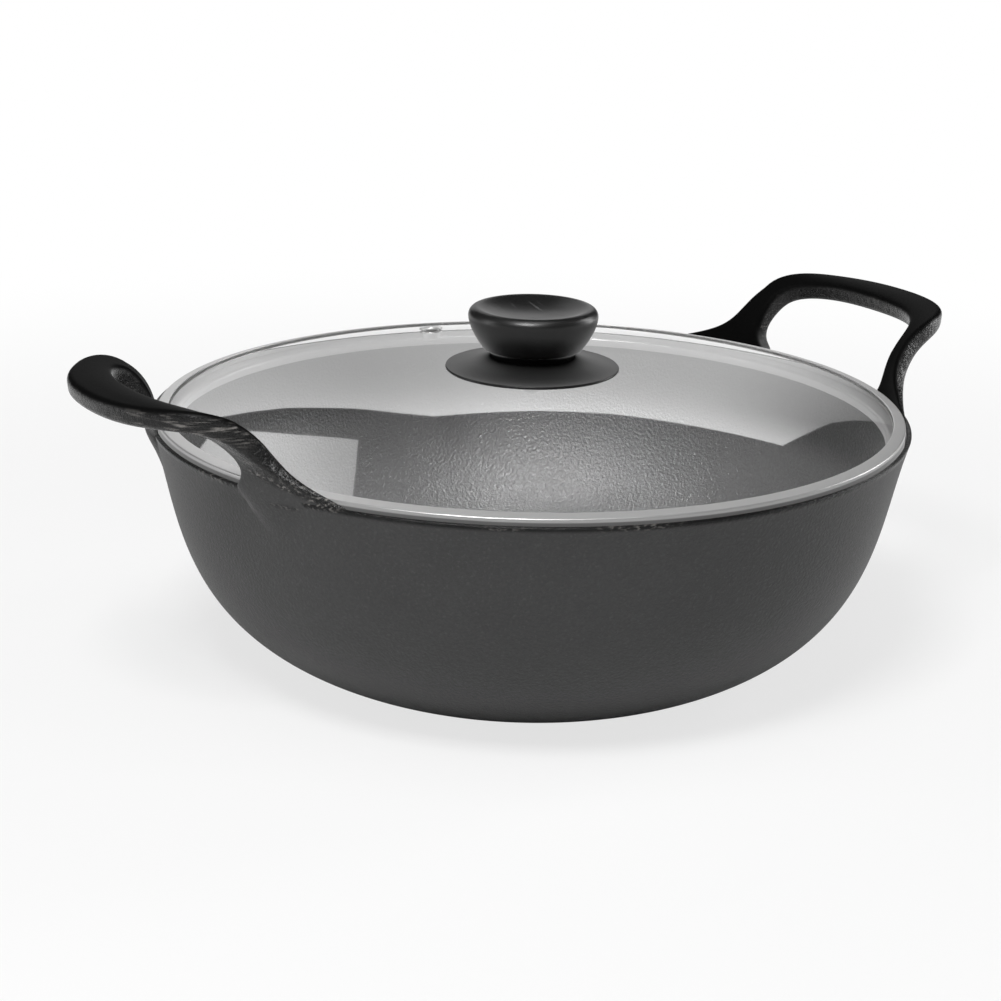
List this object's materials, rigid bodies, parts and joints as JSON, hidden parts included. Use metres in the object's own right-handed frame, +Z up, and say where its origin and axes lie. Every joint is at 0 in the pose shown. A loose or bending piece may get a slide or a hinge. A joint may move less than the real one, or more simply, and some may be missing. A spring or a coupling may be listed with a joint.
{
  "type": "cast iron stew pot",
  "caption": "Deep round cast iron stew pot with two curled loop handles and a lift-off domed glass lid with a steel band, steam vent and round plastic knob.",
  "frame": {"origin": "middle of the flat base's underside", "axes": "+Z up, X through the two loop handles, Y across them; the steam vent is near +Y"},
  "size_m": [0.353, 0.2798, 0.1321],
  "materials": {
    "cast_iron": "matte charcoal grey with a fine sand-cast grain, smooth semi-gloss black on the handles and rim",
    "tempered_glass": "clear polished glass with a faint grey-green tint",
    "stainless_steel": "bright rolled and polished steel",
    "phenolic_plastic": "satin black moulded phenolic plastic",
    "silicone": "soft translucent white silicone",
    "brass": "turned brass"
  },
  "bodies": {
    "pot": {"pot_body": "cast_iron"},
    "lid": {"lid_glass": "tempered_glass", "lid_rim_band": "stainless_steel", "steam_vent": "stainless_steel", "knob_seal": "silicone", "knob_base": "phenolic_plastic", "knob_head": "phenolic_plastic", "knob_insert": "brass", "glass_gasket": "silicone", "screw_washer": "stainless_steel", "knob_screw": "stainless_steel"}
  },
  "joints": [
    {"name": "lid_lift", "type": "slide", "parent": "pot", "child": "lid", "axis": [0, 0, 1], "range_m": [0, 0.12]}
  ]
}
